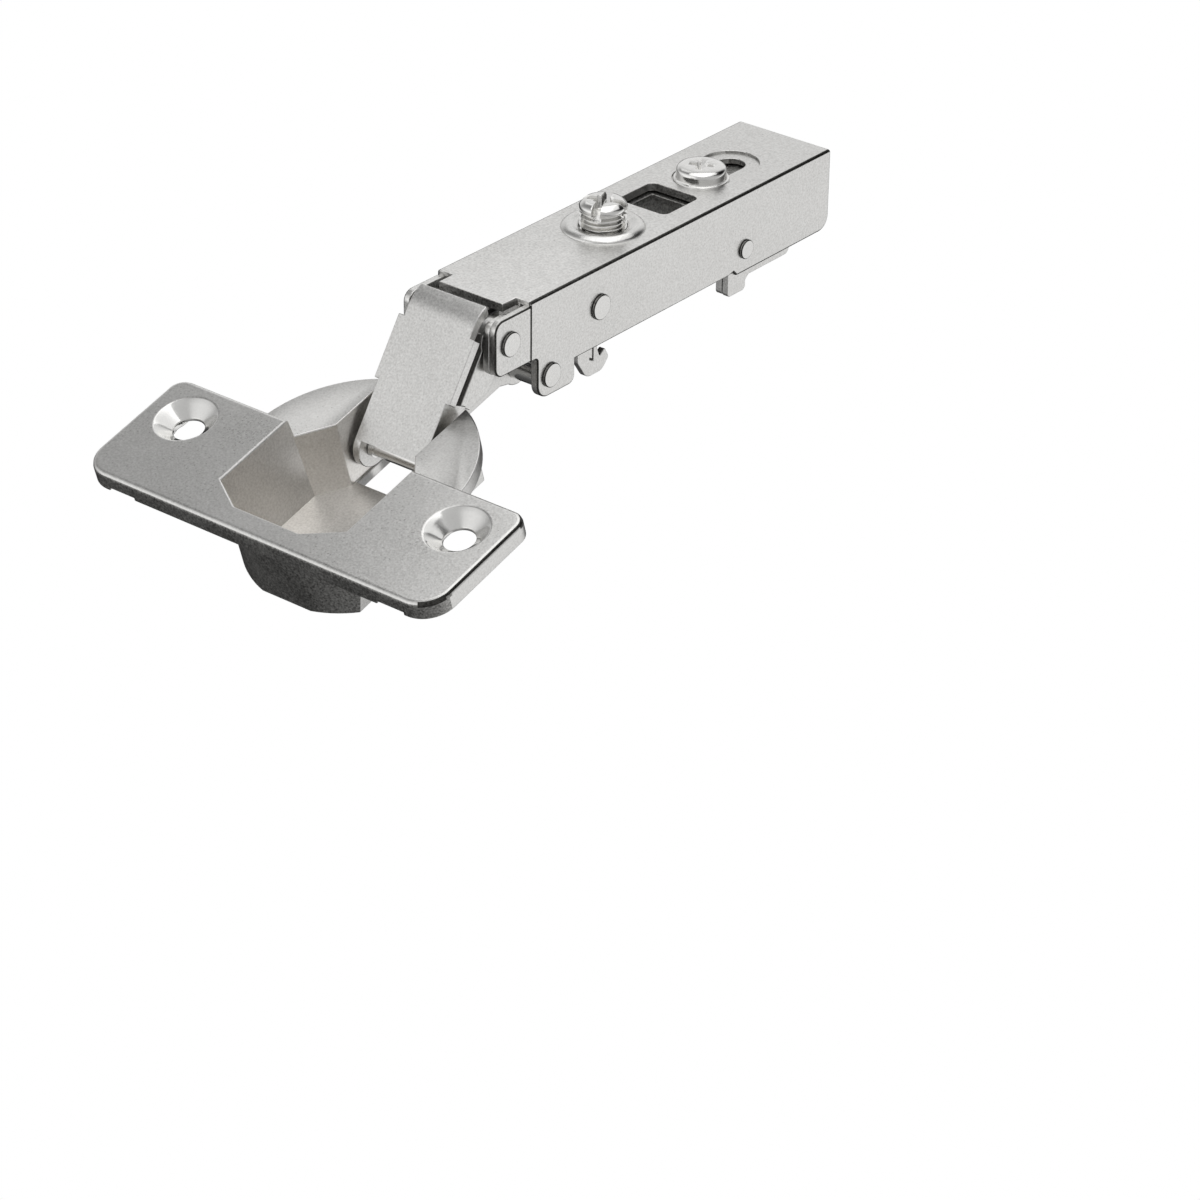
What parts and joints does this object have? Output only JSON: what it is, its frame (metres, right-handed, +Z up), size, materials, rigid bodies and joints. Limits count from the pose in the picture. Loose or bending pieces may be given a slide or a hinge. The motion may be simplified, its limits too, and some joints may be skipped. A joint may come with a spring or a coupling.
{
  "type": "concealed cup hinge",
  "caption": "Concealed cabinet hinge: drilled-in cup with screw flange, crank link and clip-on channel arm with adjusting screws.",
  "frame": {"origin": "middle of the carrier face that sits on the mounting plate, on the hinge's centre plane", "axes": "+X along the pivot axles, +Y from the cup towards the rear of the arm, +Z up, away from the mounting plate"},
  "size_m": [0.062, 0.1154, 0.0355],
  "materials": {
    "satin_nickel": "satin nickel plate on folded steel sheet",
    "cast_nickel": "satin nickel plate, fine grain",
    "bright_nickel": "bright nickel on turned screws, axles and rivets",
    "spring_steel": "oiled spring wire"
  },
  "bodies": {
    "carrier": {"carrier": "satin_nickel", "latch_pin": "bright_nickel", "latch_spring": "spring_steel"},
    "latch": {"latch_lever": "satin_nickel"},
    "depth_screw": {"rear_screw": "bright_nickel"},
    "arm": {"arm": "satin_nickel", "ear_plate_left": "satin_nickel", "ear_plate_right": "satin_nickel", "upper_axle": "bright_nickel", "lower_axle": "bright_nickel", "front_rivet": "bright_nickel", "guide_rivet_left": "bright_nickel", "guide_rivet_right": "bright_nickel", "sleeve_left": "bright_nickel", "sleeve_right": "bright_nickel", "closing_spring": "spring_steel"},
    "overlay_screw": {"front_screw": "bright_nickel"},
    "outer_link": {"outer_link": "satin_nickel"},
    "inner_link": {"inner_link": "cast_nickel", "cup_spindle": "bright_nickel"},
    "cup": {"cup": "cast_nickel", "cup_axle": "bright_nickel"}
  },
  "joints": [
    {"name": "cup_fold", "type": "hinge", "parent": "outer_link", "child": "cup", "pos_m": [0, -0.04914, -0.01651], "axis": [1, 0, 0], "range_deg": [-133.3, 0]},
    {"name": "outer_link_swing", "type": "hinge", "parent": "arm", "child": "outer_link", "pos_m": [0, -0.03605, -0.00205], "axis": [1, 0, 0], "range_deg": [0, 28.6]},
    {"name": "inner_link_swing", "type": "hinge", "parent": "arm", "child": "inner_link", "pos_m": [0, -0.0276, -0.00975], "axis": [1, 0, 0], "range_deg": [0, 42.4]},
    {"name": "depth_slide", "type": "slide", "parent": "carrier", "child": "arm", "axis": [0, 1, 0], "range_m": [-0.004, 0]},
    {"name": "overlay_screw_turn", "type": "hinge", "parent": "arm", "child": "overlay_screw", "pos_m": [0, -0.0062, 0.0025], "axis": [0, 0, 1], "range_deg": [-720, 720]},
    {"name": "depth_screw_turn", "type": "hinge", "parent": "carrier", "child": "depth_screw", "pos_m": [0, 0.0162, 0.0025], "axis": [0, 0, 1], "range_deg": [0, 360]},
    {"name": "latch_swing", "type": "hinge", "parent": "carrier", "child": "latch", "pos_m": [0, 0.023, -0.0065], "axis": [1, 0, 0], "range_deg": [0, 12], "stiffness_Nm_per_rad": 0.05, "springref_deg": -17.19}
  ],
  "couplings": [
    {"joint": "outer_link_swing", "follows": "cup_fold", "ratio": -0.2058},
    {"joint": "inner_link_swing", "follows": "cup_fold", "ratio": -0.3049}
  ]
}
